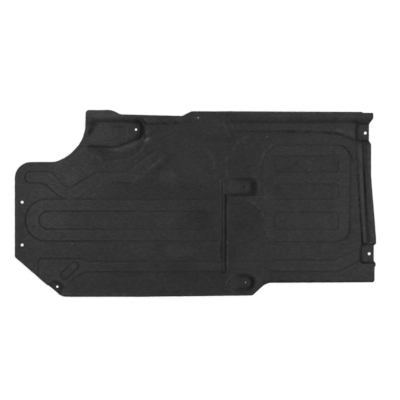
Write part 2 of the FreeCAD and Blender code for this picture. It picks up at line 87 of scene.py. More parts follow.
# Cut edge: halvings that find it, fewest points of a ring, pitch and layer of the noise that it follows
BISECTIONS = 7
FEWEST_STOPS = 12
WANDER_PITCH = 55
WANDER_LAYER = 3.0
# rows between the faces: share of the edge radius inwards, share of the depth; cut share at a face's rim
EDGE_ROWS = ((0.25, 0.14), (0.0, 0.5), (0.25, 0.86))
RIM_CUT = 0.6

# Points of a face: least share of felt under one, clearance in steps, distance that makes two one, and
# the kind of triangulation that keeps within the edges
WHOLLY_ON = 0.99
CLEARANCE = 0.6
SAME_PLACE = 1e-8
WITHIN_EDGES = 1
# what asks for close points, and for middling: a blur and its change of height in mm, contrast of tone
CLOSE = (4.5, 0.15, 0.050)
MIDDLING = (11, 0.05, 0.010)
# rise and fall: pitches of a slow and a quick swell, strength of the quick one, layer of the inner face
SWELL_PITCHES = (26, 85)
QUICK_SWELL = 0.6
INNER_LAYER = 9.0

# Tone: blurs for slopes, rims and marks; slope of a full wall, steepest counted, height of a full rim
FINE_BLUR = 1.2 * MILLIMETRE
RIM_BLUR = 3.6 * MILLIMETRE
MARK_BLUR = 4 * MILLIMETRE
WALL_SLOPE = 0.9
STEEPEST = 1.2
RIM_HEIGHT = 0.5 * MILLIMETRE
# strongest painted light; painted shade of walls and of left ones; painted highlight of rims, plain and by
# strength; darkest tone
STRONGEST_PAINTED_LIGHT = 1.35
WALL_SHADE = 0.38
LEFT_SHADE = 0.16
PAINTED_RIM_HIGHLIGHT = (0.04, 0.06)
DARKEST = 0.2
# inner face: tone of its nap, shade of its walls
INNER_NAP = 1.05
INNER_SHADE = 0.25
# random blotches by strength, size and seed, and how many blur radii make up a size
CLOUD_RADII = 2.5
ROAD_BLOTCHES = ((0.022, 0.045, 1), (0.014, 0.015, 2))
INNER_BLOTCHES = ((0.03, 0.05, 3), (0.03, 0.014, 4))
# noise that breaks up painted light and rubbed places: middle and spread, size and seed, limits, its power in
# places
BROKEN = (0.9, 0.3)
BROKEN_NOISE = (0.010, 5)
BROKEN_LIMITS = (0.35, 1.5)
SCUFF_AND_PAINTED_LIGHT_POWER = 0.3
# half widths to where lines fade out; outline and softness of patches, softness of areas, farthest counted
FADED_OUT = 3
PATCH_POWER = 3
PATCH_SOFTNESS = 0.12
AREA_SOFTNESS = 0.25
FARTHEST = 60

# Felt: widths of fibres and tufts; turns, stretch and push of strands; uneven nap; bump; light of a cut
FIBRE_WIDTH = 0.0005
TUFT_SIZE = 0.006
STRAND_TURNS = (0.35, 1.5, 2.6)
STRAND_STRETCH = (0.11, 1.0, 0.6)
STRAND_PUSH = 0.006
NAP_SIZE = 0.0048
NAP_STRETCH = (0.5, 1.0, 1.0)
NAP_CONTRAST = 1.00
NAP_HEIGHT = 1.5
BUMP_DISTANCE = 0.0006
CUT_LIGHT = 0.25

# Loose fibres: power of the cut share, tip and bend by length, most lean, shortest share, segments, sides
CUT_POWER = 4.0
FIBRE_TIP = 0.45
FIBRE_BEND = 0.55
MOST_LEAN = 1.1
SHORTEST = 0.35
SEGMENTS = 3
SIDES = 3

# Tufts of lint: place in mm and fullness; radius of a seat, and strands on it
LINT = (((-344, -111.5), 1.0), ((491.5, -109), 1.2), ((201, 186), 0.3), ((315.5, 92), 0.2))
LINT_SPREAD = 0.0011
LINT_STRANDS = 9

# Stage: floor's half width, gap and tones; lamp's size and place; sensor in mm, farthest seen
FLOOR_HALF = 4.0
FLOOR_GAP = 0.0003
FLOOR_LIT = 0.20
FLOOR_GLOW = 0.86
FLOOR_PLAIN = 0.75
LAMP_SIZE = (2.6, 2.0)
LAMP_PLACE = (0.4, 0.1, 2.4)
SENSOR_WIDTH = 36.0
FARTHEST_SEEN = 50.0

# How pale the felt is along the panel, from its nap and from painted light brighter at both ends, and how
# strong the painted wall shade and rim highlight are: X in mm, share
NAP_AND_PAINTED_LIGHT = ((-505, 1.2), (-430, 1.4), (-360, 1.33), (-250, 1.06), (0, 0.95), (120, 0.9), (250, 1.0), (500, 1.1))
PAINTED_LIGHT_STRENGTH_ALONG_X = ((-505, 0.75), (-330, 0.75), (-250, 0.45), (-150, 0.22), (100, 0.15), (200, 0.25), (505, 0.25))

# Where the painted shade of walls and creases and the painted highlight of rims are stronger or fainter:
# middle and half sizes in mm, times as strong
PAINTED_LIGHT_STRENGTH_PATCHES = (
    # far slope of the flange
    (270, 231, 190, 13, 3.0),
    # dark line and valley along the right edge, and the lip beyond
    (457, 20, 8, 145, 0.3), (472, 20, 7, 145, 5.0), (486, 20, 7, 145, 0.2),
    # right wall and far right corner of the raised rectangle, and its left wall
    (433, 40, 10, 110, 3.0), (415, 150, 30, 20, 2.0), (186, 80, 14, 70, 0.1), (203, 138, 20, 30, 0.1),
    # left ends of two windows
    (224, 111, 8, 18, 0.4), (224, 33, 8, 16, 0.4),
    # inner left end of the ring
    (-430, -45, 30, 40, 1.7),
    # bead along the near right edge, and the left end of the one along the near edge
    (310, -178, 140, 30, 2.2), (-441, -192, 8, 32, 0.3),
    # near left end of the oblong bead, and the curved edge beside the seat
    (-374, -203, 14, 14, 3.0), (-330, -212, 30, 22, 0.8),
    # between the grooves and the raised rectangle, and its near right corner
    (150, -130, 45, 45, 0.1), (420, -90, 26, 26, 1.8),
    # left groove and right groove
    (74, -80, 5, 130, 4.0), (85.5, -80, 4.5, 130, 8.0),
    # middle pocket: far wall, left ramp, right wall
    (138, 70, 30, 12, 0.3), (106, 48, 18, 34, 0.1), (164, 48, 12, 36, 2.6),
    # round pocket: whole, left ramp, right wall
    (142, -221, 40, 34, 1.5), (100, -221, 24, 30, 0.1), (166, -221, 14, 28, 2.6),
    # far left pocket: whole, left end, right wall
    (-240, 195, 80, 50, 1.2), (-325, 165, 20, 24, 0.1), (-148, 205, 18, 50, 4.5),
    # seat by the near left corner, and the tabs
    (-388, -235, 32, 30, 0.1), (470, 200, 36, 40, 3.0), (480, -141, 36, 40, 3.0),
    # near edge of the winding bead where it slants
    (-130, 92, 60, 60, 0.1),
)

# Wide areas painted paler, or duller below 0, partly for the nap and partly as painted light: middle and half
# sizes in mm, strength
NAP_AND_PAINTED_LIGHT_AREAS = (
    # near left corner, near strip, both sides of the grooves
    (-420, -180, 100, 90, -0.2), (-120, -215, 200, 60, -0.14), (-80, 36, 140, 22, -0.14),
    (60, -120, 90, 130, -0.09), (110, 120, 50, 60, -0.06),
    # painted light on the raised strip on the far left
    (-265, 252, 60, 18, 0.55),
    # near lip of the basin, and the near left edge
    (-210, 130, 70, 26, -0.08), (-345, -238, 45, 26, -0.12),
    # left half of the ring, field by the spur, and strips beyond the raised rectangle and the near bead
    (-351, -87, 72, 70, -0.1), (150, -42, 40, 42, -0.09), (130, 188, 120, 12, -0.06),
    (255, -204, 72, 13, -0.11),
    # field between the winding bead and the far edge, and along the far edge
    (-99, 172, 22, 52, -0.1), (-95, 214, 52, 11, -0.06),
    # left margin beside the ring
    (-487, -45, 12, 34, -0.14),
)

# Places painted pale, or dark below 0: painted highlights on ramps and floors, painted shade in pocket
# corners and dimples, and rubbed or dull felt: middle and half sizes in mm, strength
SCUFFS_AND_PAINTED_LIGHT = (
    # far edge, winding bead, basin, and the fields about the grooves
    (-43, 235, 11.2, 8.4, 0.26), (6, 239.3, 6, 6, 0.3), (-71, 77, 22.4, 6.2, 0.06),
    (-208, 74, 56, 11, 0.07), (-78, 78, 28, 12, 0.06), (-40, -135, 44.8, 14, 0.15),
    (66, 178, 47.6, 7.3, -0.1), (-276, 154, 22, 10, -0.22), (-258, 143, 16, 9, -0.16),
    (-133, 152, 15.4, 12.6, -0.1), (-210, 140, 70, 18, -0.06), (200, 10, 22.4, 16.8, 0.08),
    (2, -46, 44.8, 25.2, -0.09), (172, -32, 13, 25, -0.07), (-346, 77, 16.8, 14, 0.06),
    # left end of the basin, right of the round pocket, oblong bead, and specks along the near edge
    (-267.5, 129, 5, 8, 0.16), (179, -210, 10, 9, 0.14), (-342, -173, 5, 4.5, 0.16),
    (-223, -252.5, 4, 2.6, 0.4), (-198.5, -252.5, 3.6, 2.6, 0.34), (-13.7, -252.5, 4.4, 2.6, 0.4),
    # floor of the far left pocket
    (-266, 196, 34, 36, 0.24), (-216, 196, 34, 32, 0.09), (-222, 215, 21, 7, -0.1),
    # windows, dull spots at the ends of two, and the field in the bend of the spur
    (312.5, 112, 90, 23.5, -0.05), (312.5, 34, 90, 21.5, -0.05), (312.5, -48, 90, 23.5, 0.04),
    (387, 112, 10, 16, -0.08), (230, 43, 7, 7, -0.14), (204, 60, 9, 11, -0.08),
    # painted shade in the corner of the far left pocket and beside its seat
    (-287, 227, 11, 8, -0.34), (-292, 210, 8, 19, -0.3), (-276, 161, 23, 7.5, -0.16),
    (-200, 206, 5, 13, -0.14), (-180, 206, 6, 9, -0.14),
    # floor of the middle pocket
    (134, 47, 20, 14, 0.09),
    # dull blotches on the near bands, and a pale speck
    (-108, -173, 12, 8, -0.12), (-232, -230, 14, 10, -0.09), (-192, -99.5, 3, 2.2, 0.24),
    # painted highlight on the left ramp and painted shade and highlight at the dimple of the middle pocket,
    # and painted highlight on the left ramp of the round one
    (108, 48, 14, 18, 0.34), (137, 47.4, 2.6, 3, -0.45), (143, 47.4, 2.4, 3.4, 0.28),
    (108, -221, 14, 20, 0.32),
    # pale places on the near bead and on the raised rectangle, and dull ones between the long beads
    (52, -173.7, 38, 13, 0.16), (-267, -173.7, 50, 12, 0.08), (128, -166, 32, 16, 0.07),
    (346, -125, 9, 22, -0.08), (405, -20, 18, 75, 0.08), (-99, -130, 18, 18, -0.08),
    # steps of the nap inside the ring
    (-325, -46, 40, 24, -0.09), (-400, -44, 45, 24, 0.09),
)

# Lines painted pale, or dark below 0: painted highlights on rims, lips and ridges, painted shade on walls,
# feet and valleys, and rubbed felt: half width in mm, strength, points in mm
RUBS_AND_PAINTED_LIGHT = (
    # painted highlights on the lips of the basin and the rims of the far left pocket, and painted shade on
    # its walls
    (2.2, 0.48, (-133, 182), (-141, 172), (-146, 155), (-154, 143), (-172, 130), (-192, 123), (-225, 120)),
    (2.6, 0.4, (-290, 143), (-276, 133), (-266, 123)),
    (5.4, 0.54, (-228, 150), (-203, 154), (-180, 162), (-164, 172)),
    (3.4, 1.35, (-141, 174.5), (-134, 179.5), (-124, 181.2)),
    (3.6, 0.34, (-326, 161.8), (-305, 161.2)),
    (3, 0.26, (-322, 161.2), (-215, 160.6)),
    (4.4, -0.14, (-298, 154), (-272, 153.5)),
    (3.6, 0.5, (-318, 189.5), (-303, 190)),
    (2.2, 0.12, (-250, 160), (-222, 160)),
    (5.4, -0.22, (-284, 232), (-215, 231.5), (-160, 229.5)),
    (5, -0.1, (-296, 196), (-272, 226)),
    (4, -0.16, (-150, 174), (-158, 160), (-166, 149)),
    (2.6, 0.42, (-158.8, 225), (-158.8, 185)),
    (2.4, -0.22, (-144, 222), (-144, 188)),
    # painted highlight on the rim of the arch
    (2.2, 0.26, (-384, 112), (-360, 119), (-337, 130), (-318, 148)),
    # between the basin and the far left pocket, and right of the pocket
    (6, 0.5, (-214, 151), (-186, 156), (-168, 166)),
    (4, 0.1, (-252, 149), (-222, 148)),
    (2.2, 0.4, (-137, 222), (-135, 206), (-137, 192)),
    # painted shade on steps in the floor of the far left pocket, and painted highlight on the rim of its seat
    (1.5, -0.12, (-274, 205), (-274, 160)),
    (2.2, -0.2, (-242, 228), (-236, 214.5), (-203, 214)),
    (1.9, 0.42, (-180, 224), (-188.7, 214.1), (-190.7, 202.9), (-187.3, 191.7), (-177.5, 183.3)),
    # painted highlights on the edges of the winding bead where it slants, and the ground on its right darker
    (2.4, 0.5, (-175, 60), (-155, 73), (-133, 92), (-105, 116), (-88, 131)),
    (2, 0.44, (-337, 16), (-309, 28), (-276, 47), (-262, 56), (-234, 58)),
    (2.2, 0.28, (-170, 100), (-140, 122), (-112, 141)),
    (12, -0.2, (-124, 70), (-96, 100), (-70, 124)),
    # foot of the far edge by the notch
    (5, -0.2, (-135.5, 222.5), (-60, 226.5), (-15, 229)),
    (3.4, -0.22, (-56, 226), (-12, 229)),
    # painted highlights on the rims and painted shade in the grooves, and streaks at their far end
    (3.2, 0.27, (39, 143), (48, 129), (53, 113), (51, 98)),
    (2.2, 0.44, (87, 130), (87, 105), (87, 77)),
    (1.6, 0.42, (70, 68), (70, -104), (64.8, -110), (64.8, -153), (70, -158), (70, -186)),
    (2, -0.34, (74.5, 60), (74.5, -190)),
    (2.6, 0.16, (74, 64), (74.5, -24)),
    (1.3, 0.14, (75.7, -20), (75.7, -188)),
    (1.3, 0.3, (86.9, -108), (86.9, -195)),
    (1.4, 0.34, (79, 66), (79, -190)),
    (1.8, 0.44, (88.2, 0), (88.2, -190)),
    (1.6, -0.24, (70.4, -106), (70.4, -155)),
    (2.2, -0.34, (74.5, -192.5), (82, -192.5)),
    # streaks by the left end of the flange
    (2.2, 0.46, (76, 228), (86, 211), (95, 187)),
    (2.4, 0.46, (95, 228), (107, 207)),
    (2.8, 0.22, (147, 189), (125, 178), (112, 162), (102, 144)),
    # painted highlights on the rims and painted shade on the walls of the middle pocket, the spur and the
    # round pocket
    (1.8, 0.32, (153, 77), (171, 74), (177, 63), (177, 32), (171, 18)),
    (3.4, 0.22, (132, 12), (150, 7), (168, -4), (182, -18), (188, -32)),
    (1.8, 0.22, (172, -6), (184, -18), (189, -34)),
    (8, 0.09, (194, -36), (198, -75), (216, -96)),
    (3.4, 0.24, (108, 70), (146, 70)),
    (2, -0.3, (173.3, 68), (173.3, 26)),
    (3.2, -0.24, (86, 24), (114, 23.5)),
    (2, 0.24, (154, -204), (156, -221), (154, -236)),
    (2, -0.24, (167.2, -208), (168, -221), (167.2, -234)),
    (2.6, 0.16, (120, -204.5), (150, -204.5)),
    (2, 0.32, (111, -200), (94, -208), (86, -222), (93, -238), (112, -249)),
    (2.2, -0.16, (113, -206), (98, -212), (91, -223), (98, -236), (115, -243)),
    # raised rectangle and its windows
    (3, -0.26, (410, 161), (426, 150), (436, 134), (439, 120)),
    (2.8, -0.2, (438, -78), (431, -92), (416, -103)),
    (2.4, 0.3, (189, -42), (190, -60), (196, -80), (214, -103)),
    (2.4, 0.44, (181, 108), (187, 129), (197, 149), (214, 163)),
    (1.5, 0.18, (394, 131), (403, 126), (405, 99)),
    (1.6, 0.22, (389, 53), (396, 45), (396, 19)),
    (2, -0.26, (228, 92), (248, 94), (268, 101), (282, 109), (283, 119)),
    (2.2, -0.24, (203, -27), (217, -38), (221, -63)),
    # painted shade on the slope and foot of the flange, and painted highlight on its far rim
    (7.8, -0.04, (92, 233), (220, 232.7)),
    (7.8, -0.13, (260, 232.5), (380, 232), (490, 231.5)),
    (3.6, 0.4, (457, 227), (486, 226.5)),
    (2.8, -0.24, (95, 203), (320, 201.5), (377, 197.5), (405, 193), (426, 185), (447, 176)),
    (6.2, -0.2, (250, 199.5), (350, 197.5), (405, 193.5), (433, 182.5)),
    (2.6, -0.12, (120, 239), (480, 238)),
    (2.2, -0.1, (120, 225.5), (440, 225)),
    (1.8, 0.62, (60, 255), (125, 255), (385, 253.2)),
    (3.4, 0.1, (150, 244), (440, 243)),
    # right edge: painted shade on a line and in the valley, painted highlights on the ridge and the lip
    (2, -0.4, (448.5, 178), (450.9, 121.7), (453, 90)),
    (2.2, -0.8, (453.6, 80), (456.4, 37.7), (463.4, -74.3), (466.2, -110)),
    (5.4, 0.3, (458, 160), (460, 121.7), (464.5, 37.7), (472.2, -74.3), (474.8, -110)),
    (2.3, -0.46, (470, 90), (475.5, 37.7), (482.8, -74.3), (485.2, -110)),
    (4.6, 0.46, (483, 160), (484, 121.7), (488, 37.7), (493.5, -74.3), (496, -110)),
    # ground beside the tabs
    (6, -0.14, (460, -124), (460, -162)),
    (3.4, -0.22, (464, -165.5), (490, -165.5)),
    (5, -0.16, (448, 226), (448, 180)),
    (3.4, -0.2, (456, 177), (478, 176)),
    # near right corner of the raised rectangle
    (3.4, -0.2, (430, -50), (430, -80), (421, -96), (400, -104)),
    # bend of the terrace, near left corner, a dull spot on the near band, and the near rim
    (3.8, 0.46, (398, 204), (422, 200), (434, 196.5), (443, 190)),
    (2.2, 0.34, (-371, -253), (-323, -253)),
    (1.8, -0.3, (-371, -258.5), (-323, -258.5)),
    (1.6, 0.16, (-357, -226), (-338, -209), (-318, -197.5), (-290, -192.5)),
    (3.6, 0.24, (-401.5, -222.7), (-387.5, -217.1), (-374.5, -225.5), (-369, -239.5)),
    (3, -0.14, (-105, -98), (-88, -94)),
    (1.5, 0.14, (-320, -254.5), (150, -254.5)),
    # cut edge: dull along the near right side, pale along the left end and in the near left corner
    (2.4, -0.48, (190, -218), (497, -218)),
    (2, 0.22, (-498.5, 90), (-498.5, -140)),
    (2.4, 0.24, (-382, -207), (-374, -220), (-361, -227)),
)


# Settings

def number(name, description, default, unit="LENGTH"):
    """Setting for a length, or for a value in another unit."""
    return bpy.props.FloatProperty(name=name, description=description, default=default, unit=unit)


def paint(name, description, default):
    """Setting for a colour."""
    return bpy.props.FloatVectorProperty(name=name, description=description, default=default, subtype="COLOR")


class SheetSizes(PropertyGroup):
    """Sizes of the soft sheet that stands for the CAD node."""

    crease_radius: number("Crease radius", "How far the pressing rounds each crease of the relief", 0.0013)
    edge_radius: number("Edge radius", "How far the cut edge is rounded by the trimming tool", 0.0006)
    edge_wander: number("Edge wander", "How far the cut edge strays inwards from its line", 0.0007)
    hole_closing: number("Hole closing", "How far the felt has crept back into each punched hole", 0.0004)
    unevenness: number("Unevenness", "How far the plain face of the felt rises and falls", 0.00016)
    fine_step: number("Fine step", "Spacing of the mesh on creases and walls", 0.0022)
    under_step: number("Step underneath", "Spacing of the mesh on the inner face", 0.0034)
    edge_step: number("Edge step", "Spacing of the mesh along the cut edge", 0.0022)
    hole_step: number("Hole step", "Spacing of the mesh round a punched hole", 0.0009)


class FeltColours(PropertyGroup):
    """Colours of the felt and of what clings to it."""

    felt: paint("Felt", "Colour of the felt on a plain stretch", (0.0290, 0.0292, 0.0300))
    fibre: paint("Loose fibre", "Colour of the fibres that stand out of a cut edge", (0.060, 0.061, 0.063))
    lint: paint("Lint", "Colour of the pale tufts of lint", (0.42, 0.42, 0.41))


class FuzzSizes(PropertyGroup):
    """Sizes of the loose fibres and of the lint."""

    density: number("Density", "Loose fibres on each square metre of cut edge", 220000.0, "NONE")
    length: number("Fibre length", "Length of a loose fibre", 0.0026)
    radius: number("Fibre radius", "Radius of a loose fibre", 0.00006)
    lint_length: number("Lint length", "Length of a strand of lint", 0.0026)
    lint_radius: number("Lint radius", "Radius of a strand of lint", 0.00016)


class StageSizes(PropertyGroup):
    """Camera, lamp and sky."""

    view_width: number("View width", "Width of floor that the picture shows", 1.1215)
    view_centre: bpy.props.FloatVectorProperty(
        name="View centre",
        description="Place on the floor under the camera",
        default=(0.0129, 0.0097),
        size=2,
        unit="LENGTH",
    )
    camera_height: number("Camera height", "Height of the camera above the floor", 6.0)
    lamp_power: number("Lamp power", "Power of the large lamp overhead", 52.0, "POWER")
    sky_strength: number("Sky strength", "Strength of the even light from all round", 0.35, "NONE")


# Heights of the node's two faces, on a square grid

def node_tree_of(node):
    """Search tree of a node's faces."""
    mesh = node.data
    return BVHTree.FromPolygons([v.co for v in mesh.vertices], [p.vertices for p in mesh.polygons])


def cast_heights(tree, xs, ys, side):
    """Heights that rays along Z meet first, and where they meet any; side is 1 from above, -1 from below."""
    heights = np.zeros((len(ys), len(xs)))
    inside = np.zeros(heights.shape, bool)
    direction = Vector((0, 0, -side))
    for row, y in enumerate(ys):
        for column, x in enumerate(xs):
            place = tree.ray_cast(Vector((x, y, side * ABOVE)), direction)[0]
            if place is not None:
                heights[row, column] = place.z
                inside[row, column] = True
    return heights, inside


def blurred(values, radius):
    """A field blurred over a radius."""
    along = np.fft.rfftfreq(values.shape[1])
    across = np.fft.fftfreq(values.shape[0])
    cells = radius / GRID_STEP
    fade = np.exp(-2 * (math.pi * cells) ** 2 * (along[None, :] ** 2 + across[:, None] ** 2))
    return np.fft.irfft2(np.fft.rfft2(values) * fade, values.shape)


def soften(heights, inside, radius):
    """Heights blurred over a radius, leaving out what lies beyond the cut edge."""
    return blurred(heights * inside, radius) / np.maximum(blurred(inside.astype(float), radius), LEAST_COVER)


def cloudy(shape, size, seed):
    """Smooth random field about 0, with features of a size."""
    smooth = blurred(np.random.default_rng(seed).standard_normal(shape), size / CLOUD_RADII)
    return smooth / smooth.std()


class Grid:
    """Square grid over the panel in plan, from which a field is read at any point."""

    def __init__(self):
        low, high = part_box(NODE)
        self.xs = np.arange(low[0] - GRID_MARGIN, high[0] + GRID_MARGIN, GRID_STEP)
        self.ys = np.arange(low[1] - GRID_MARGIN, high[1] + GRID_MARGIN, GRID_STEP)

    def read(self, field, points):
        """Values of a field at plan points, between the four nearest grid points."""
        u = (points[:, 0] - self.xs[0]) / GRID_STEP
        v = (points[:, 1] - self.ys[0]) / GRID_STEP
        column = np.clip(u.astype(int), 0, len(self.xs) - 2)
        row = np.clip(v.astype(int), 0, len(self.ys) - 2)
        u = u - column
        v = v - row
        near = field[row, column] * (1 - u) + field[row, column + 1] * u
        far = field[row + 1, column] * (1 - u) + field[row + 1, column + 1] * u
        return near * (1 - v) + far * v


# Cut edge

def crossing(tree, within, beyond):
    """Plan point between two others where the felt ends, found by halving."""
    for _ in range(BISECTIONS):
        middle = (within + beyond) / 2
        if tree.ray_cast(Vector((*middle, ABOVE)), DOWN)[0] is None:
            beyond = middle
        else:
            within = middle
    return (within + beyond) / 2


def cut_rings(grid, inside, tree):
    """Rings of plan points along every cut, each with the felt on its left."""
    following = {}
    places = {}
    mixed = inside[:-1, :-1].astype(int) + inside[1:, :-1] + inside[:-1, 1:] + inside[1:, 1:]
    for row, column in np.argwhere((mixed > 0) & (mixed < 4)):
        corners = [(row, column), (row, column + 1), (row + 1, column + 1), (row + 1, column)]
        leaving = []
        arriving = []
        for side, (start, end) in enumerate(zip(corners, corners[1:] + corners[:1])):
            if inside[start] == inside[end]:
                continue
            key = (min(start, end), max(start, end))
            ends = [np.array((grid.xs[c[1]], grid.ys[c[0]])) for c in (start, end)]
            if inside[start]:
                leaving.append((side, key))
                places[key] = crossing(tree, *ends)
            else:
                arriving.append((side, key))
        for side, key in leaving:
            following[key] = min(arriving, key=lambda other: (other[0] - side) % 4)[1]
    rings = []
    while following:
        start, after = following.popitem()
        ring = [places[start]]
        while after != start:
            ring.append(places[after])
            after = following.pop(after)
        rings.append(np.array(ring))
    return rings


def ring_length(ring):
    """Length round a closed ring of points."""
    return np.linalg.norm(np.roll(ring, -1, axis=0) - ring, axis=1).sum()


def spaced(ring, step):
    """The same closed ring with points at an even step."""
    closed = np.vstack([ring, ring[:1]])
    travelled = np.concatenate([[0], np.cumsum(np.linalg.norm(np.diff(closed, axis=0), axis=1))])
    count = max(FEWEST_STOPS, round(travelled[-1] / step))
    stops = np.arange(count) * travelled[-1] / count
    return np.column_stack([np.interp(stops, travelled, closed[:, axis]) for axis in (0, 1)])


def inset(ring, distance):
    """A ring moved towards the felt on its left."""
    along = np.roll(ring, -1, axis=0) - np.roll(ring, 1, axis=0)
    along /= np.linalg.norm(along, axis=1)[:, None]
    left = np.column_stack([-along[:, 1], along[:, 0]])
    return ring + left * np.asarray(distance).reshape(-1, 1)


def waves(x, y, pitch, layer):
    """Smooth noise about 0 at a plan point, with so many waves in a metre."""
    return noise.noise(Vector((x * pitch, y * pitch, layer)))


def wander(ring, reach):
    """How far each point of a cut edge strays inwards."""
    return np.array([reach * (0.5 + 0.5 * waves(x, y, WANDER_PITCH, WANDER_LAYER)) for x, y in ring])


# Points and faces of the sheet

def lattice_points(grid, inside, close, middling, step):
    """Plan points of a lattice: close or middling where that field passes 1, and wide elsewhere."""
    low = (grid.xs[0], grid.ys[0])
    columns = int((grid.xs[-1] - low[0]) / step)
    rows = int((grid.ys[-1] - low[1]) / (step * SIN_60))
    i, j = [k.ravel() for k in np.meshgrid(np.arange(columns), np.arange(rows))]
    points = np.column_stack([low[0] + (i + 0.5 * (j % 2)) * step, low[1] + j * step * SIN_60])
    middle = (j % 2 == 0) & (i % 2 == j // 2 % 2)
    wide = (j % 4 == 0) & (i % 4 == 2 * (j // 4 % 2))
    kept = (grid.read(close, points) > 1) | (middle & (grid.read(middling, points) > 1)) | wide
    on_felt = grid.read(inside.astype(float), points) > WHOLLY_ON
    return points[kept & on_felt]


def clear_of(points, rings, distance):
    """The points that lie no nearer than a distance to any point of the rings."""
    stops = np.vstack(rings)
    tree = kdtree.KDTree(len(stops))
    for index, (x, y) in enumerate(stops):
        tree.insert((x, y, 0), index)
    tree.balance()
    return np.array([p for p in points if tree.find((p[0], p[1], 0))[2] > distance])


def triangulated(rings, points):
    """Triangles over the felt, as rows of indices into the rings' points and then the loose ones."""
    stops = np.vstack(rings + [points])
    edges = []
    ring_of = np.full(len(stops), -1)
    start = 0
    for number, ring in enumerate(rings):
        count = len(ring)
        edges += [(start + k, start + (k + 1) % count) for k in range(count)]
        ring_of[start:start + count] = number
        start += count
    made = geometry.delaunay_2d_cdt([Vector(p) for p in stops], edges, [], WITHIN_EDGES, SAME_PLACE)
    origin = [first[0] if first else -1 for first in made[3]]
    if min(origin) < 0 or len(made[0]) != len(stops):
        raise RuntimeError("the cut edge crosses itself")
    faces = np.array([[origin[k] for k in face] for face in made[2]])
    rings_met = ring_of[faces]
    in_hole = (rings_met[:, 0] > 0) & np.all(rings_met == rings_met[:, :1], axis=1)
    return stops, faces[~in_hole]


def uneven(points, reach, layer):
    """Slow rise and fall of the face of the felt at each plan point."""
    slow, quick = SWELL_PITCHES
    return reach * np.array([waves(*p, slow, layer) + QUICK_SWELL * waves(*p, quick, layer) for p in points])


# Tone of the faces, with painted shade and highlights

def near_line(grid, points, width):
    """How near each cell lies to a line through points: 1 on it, fading over its half width."""
    points = np.array(points) * MILLIMETRE
    width = width * MILLIMETRE
    share = np.zeros((len(grid.ys), len(grid.xs)))
    reach = FADED_OUT * width
    for (x0, y0), (x1, y1) in zip(points, points[1:]):
        columns = slice(*np.searchsorted(grid.xs, (min(x0, x1) - reach, max(x0, x1) + reach)))
        rows = slice(*np.searchsorted(grid.ys, (min(y0, y1) - reach, max(y0, y1) + reach)))
        x, y = np.meshgrid(grid.xs[columns] - x0, grid.ys[rows] - y0)
        run = (x1 - x0, y1 - y0)
        along = np.clip((x * run[0] + y * run[1]) / (run[0] ** 2 + run[1] ** 2), 0, 1)
        distance = np.hypot(x - along * run[0], y - along * run[1])
        share[rows, columns] = np.maximum(share[rows, columns], np.exp(-(distance / width) ** 2))
    return share


def in_patch(grid, x, y, half_x, half_y, softness=PATCH_SOFTNESS):
    """How far inside a rounded patch each cell lies, from 0 to 1 with a soft edge."""
    u = np.abs(grid.xs / MILLIMETRE - x)[None, :] / half_x
    v = np.abs(grid.ys / MILLIMETRE - y)[:, None] / half_y
    reach = (u ** PATCH_POWER + v ** PATCH_POWER) ** (1 / PATCH_POWER)
    return 1 / (1 + np.exp(np.minimum((reach - 1) / softness, FARTHEST)))


def painted_light_strength(grid):
    """How strong the painted shade of walls and the painted highlight of rims are at each cell."""
    painted_strength = np.tile(np.interp(grid.xs / MILLIMETRE, *zip(*PAINTED_LIGHT_STRENGTH_ALONG_X)), (len(grid.ys), 1))
    for *patch, times in PAINTED_LIGHT_STRENGTH_PATCHES:
        painted_strength *= 1 + (times - 1) * in_patch(grid, *patch)
    return np.minimum(painted_strength, STRONGEST_PAINTED_LIGHT)


def steepness(slope):
    """Share of a full wall that each slope makes."""
    return np.clip(slope / WALL_SLOPE, 0, STEEPEST)


def blotched(tone, blotches):
    """A tone made uneven by blotches of each strength, size and seed."""
    return tone * (1 + sum(strength * cloudy(tone.shape, size, seed) for strength, size, seed in blotches))


def road_tone_and_painted_light(grid, heights, inside):
    """How pale the road face is at each cell, about 1, with painted shade on walls and painted highlights on
    rims.
    """
    soft = soften(heights, inside, FINE_BLUR)
    broad = soften(heights, inside, RIM_BLUR)
    across, along = np.gradient(soft, GRID_STEP)
    wall = steepness(np.hypot(along, across))
    turned_left = steepness(along)
    rim = np.clip((soft - broad) / RIM_HEIGHT, 0, 1)
    painted_strength = painted_light_strength(grid)
    # paleness from the nap, and painted light that is brighter towards both ends of the panel
    tone = np.interp(grid.xs / MILLIMETRE, *zip(*NAP_AND_PAINTED_LIGHT))[None, :]
    # painted shade on walls, and more on walls that face left, away from the light
    tone = tone * (1 - WALL_SHADE * painted_strength * wall - LEFT_SHADE * painted_strength * turned_left)
    # painted highlight on rims
    tone *= 1 + (PAINTED_RIM_HIGHLIGHT[0] + PAINTED_RIM_HIGHLIGHT[1] * painted_strength) * rim
    broken = np.clip(BROKEN[0] + BROKEN[1] * cloudy(tone.shape, *BROKEN_NOISE), *BROKEN_LIMITS)
    # painted lines of highlight and shade, and rubbed felt
    for width, strength, *points in RUBS_AND_PAINTED_LIGHT:
        tone += strength * broken * near_line(grid, points, width)
    # painted places of highlight and shade, and rubbed or dull felt
    for *patch, strength in SCUFFS_AND_PAINTED_LIGHT:
        tone += strength * broken ** SCUFF_AND_PAINTED_LIGHT_POWER * in_patch(grid, *patch)
    # wide areas of nap and of painted light
    for *patch, strength in NAP_AND_PAINTED_LIGHT_AREAS:
        tone += strength * in_patch(grid, *patch, AREA_SOFTNESS)
    return blotched(np.maximum(tone, DARKEST), ROAD_BLOTCHES)


def inner_tone_and_painted_shade(heights, inside):
    """How pale the inner face is at each cell, about 1, with painted shade on its walls."""
    across, along = np.gradient(soften(heights, inside, FINE_BLUR), GRID_STEP)
    return blotched(INNER_NAP - INNER_SHADE * steepness(np.hypot(across, along)), INNER_BLOTCHES)


# Sheet

